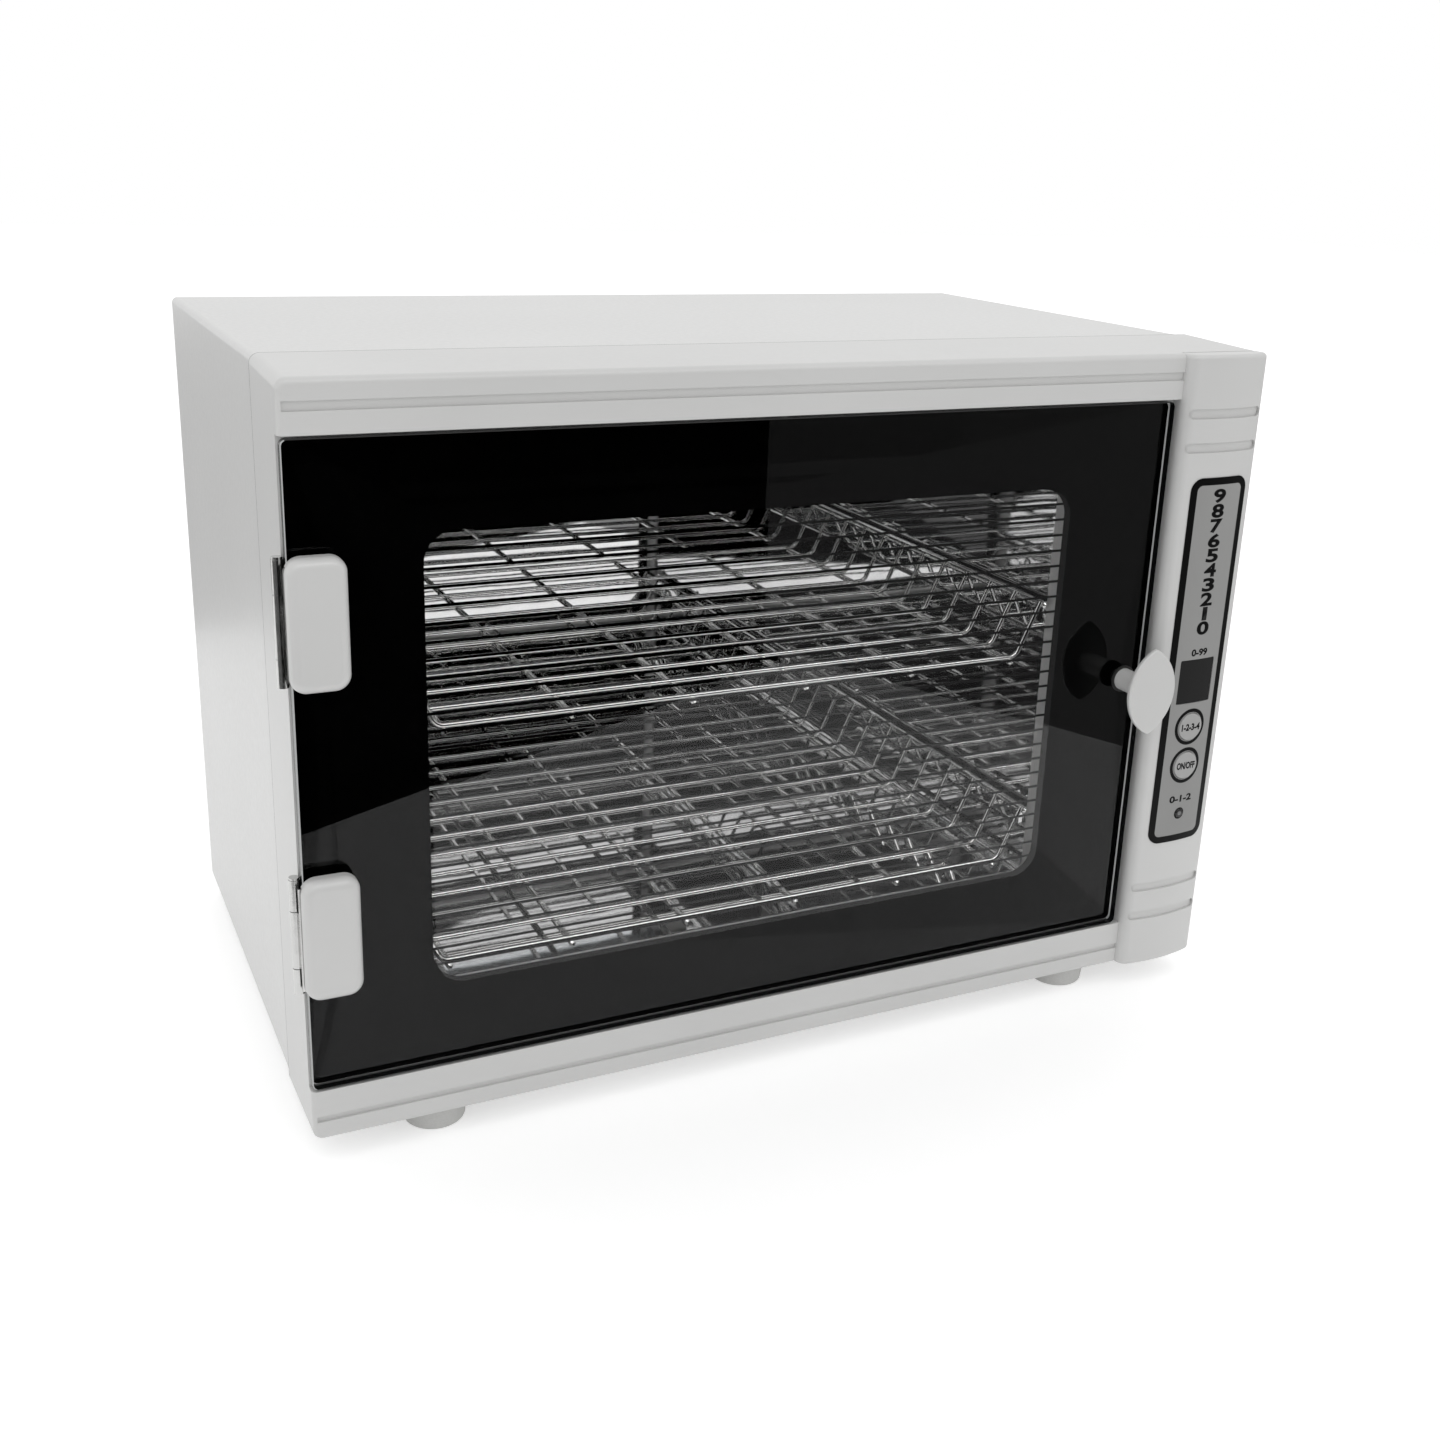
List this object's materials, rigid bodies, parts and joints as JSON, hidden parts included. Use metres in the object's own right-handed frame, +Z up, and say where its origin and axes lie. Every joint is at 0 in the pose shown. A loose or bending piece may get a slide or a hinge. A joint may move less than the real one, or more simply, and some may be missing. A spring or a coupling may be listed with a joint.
{
  "type": "tool sterilizer cabinet",
  "caption": "Bench sterilizer cabinet with a side-hinged glass door, pull-out wire baskets, an ultraviolet lamp and a control column with press keys.",
  "frame": {"origin": "bottom centre of the whole object's box, at the level of the feet's soles", "axes": "+X to the right as seen from the front, +Y from the door to the back, +Z up; the door faces -Y"},
  "size_m": [0.434, 0.287, 0.307],
  "materials": {
    "frame_plastic": "satin moulded light grey",
    "case_paint": "satin powder coat, light grey",
    "door_glass": "clear toughened glass, polished edges",
    "black_print": "black ceramic print under glass",
    "cover_plastic": "satin light grey",
    "bright_metal": "bright plated",
    "leaf_steel": "zinc-plated steel",
    "screw_steel": "zinc-plated screws",
    "soft_rubber": "soft black rubber",
    "seal_foam": "soft light grey seal",
    "magnet": "dark sintered magnet",
    "catch_plastic": "plain white moulding",
    "knob_plastic": "light grey, smooth",
    "polished_steel": "mirror-polished stainless steel",
    "basket_wire": "bright plated welded wire",
    "lamp_glass": "clear quartz glass",
    "lamp_metal": "plain aluminium caps",
    "socket_plastic": "white lamp sockets",
    "bright_sheet": "bright rolled aluminium",
    "plain_sheet": "galvanised sheet",
    "board": "green circuit board",
    "dark_parts": "plain black moulding",
    "label": "printed film, dark border and grey field",
    "smoked_lens": "smoked window",
    "key_plastic": "grey moulded key",
    "lamp_pipe": "milky light pipe",
    "lead_sheath": "black insulated leads",
    "blade_metal": "nickel-plated brass"
  },
  "bodies": {
    "cabinet": {"front_frame": "frame_plastic", "control_column": "frame_plastic", "label_overlay": "label", "display_lens": "smoked_lens", "display_module": "dark_parts", "power_lamp": "lamp_pipe", "key_switches": "dark_parts", "control_board": "board", "board_screws": "screw_steel", "column_screws": "screw_steel", "frame_leaf_upper": "bright_metal", "frame_leaf_lower": "bright_metal", "hinge_pins": "bright_metal", "frame_leaf_screws": "screw_steel", "reed_switch": "dark_parts", "catch_housing": "catch_plastic", "catch_magnet": "magnet", "catch_screws": "screw_steel", "door_seal": "seal_foam", "chamber_liner": "polished_steel", "liner_back": "polished_steel", "liner_stands": "plain_sheet", "basket_ledges": "polished_steel", "lamp_tube": "lamp_glass", "lamp_caps": "lamp_metal", "lamp_holder_left": "socket_plastic", "lamp_holder_right": "socket_plastic", "lamp_reflector": "bright_sheet", "lamp_leads": "lead_sheath", "board_leads": "lead_sheath", "ballast": "plain_sheet", "case_wrap": "case_paint", "base_pan": "case_paint", "back_panel": "case_paint", "case_screws": "screw_steel", "power_inlet": "dark_parts", "inlet_pins": "blade_metal", "inlet_screws": "screw_steel", "foot_screws": "screw_steel", "foot_front_left": "soft_rubber", "foot_front_right": "soft_rubber", "foot_rear_left": "soft_rubber", "foot_rear_right": "soft_rubber"},
    "door": {"door_glass": "door_glass", "door_print": "black_print", "hinge_cover_upper": "cover_plastic", "hinge_cover_lower": "cover_plastic", "door_leaf_upper": "bright_metal", "door_leaf_lower": "bright_metal", "clamp_plates": "leaf_steel", "glass_gaskets": "soft_rubber", "door_hinge_screws": "screw_steel", "door_knob": "knob_plastic", "knob_screw": "screw_steel", "strike_plate": "leaf_steel", "sensor_magnet": "magnet"},
    "upper_basket": {"upper_basket": "basket_wire"},
    "lower_basket": {"lower_basket": "basket_wire"},
    "select_key": {"select_key": "key_plastic"},
    "power_key": {"power_key": "key_plastic"}
  },
  "joints": [
    {"name": "door_hinge", "type": "hinge", "parent": "cabinet", "child": "door", "pos_m": [-0.2149, -0.11885, 0.15905], "axis": [0, 0, -1], "range_deg": [0, 110]},
    {"name": "upper_basket_slide", "type": "slide", "parent": "cabinet", "child": "upper_basket", "axis": [0, -1, 0], "range_m": [0, 0.081]},
    {"name": "lower_basket_slide", "type": "slide", "parent": "cabinet", "child": "lower_basket", "axis": [0, -1, 0], "range_m": [0, 0.081]},
    {"name": "select_press", "type": "slide", "parent": "cabinet", "child": "select_key", "axis": [0, 1, 0], "range_m": [0, 0.0006], "stiffness_N_per_m": 300, "springref_m": -0.001},
    {"name": "power_press", "type": "slide", "parent": "cabinet", "child": "power_key", "axis": [0, 1, 0], "range_m": [0, 0.0006], "stiffness_N_per_m": 300, "springref_m": -0.001}
  ],
  "couplings": [
    {"joint": "upper_basket_slide", "follows": "door_hinge", "m_per_rad": 0.042},
    {"joint": "lower_basket_slide", "follows": "door_hinge", "m_per_rad": 0.042}
  ]
}
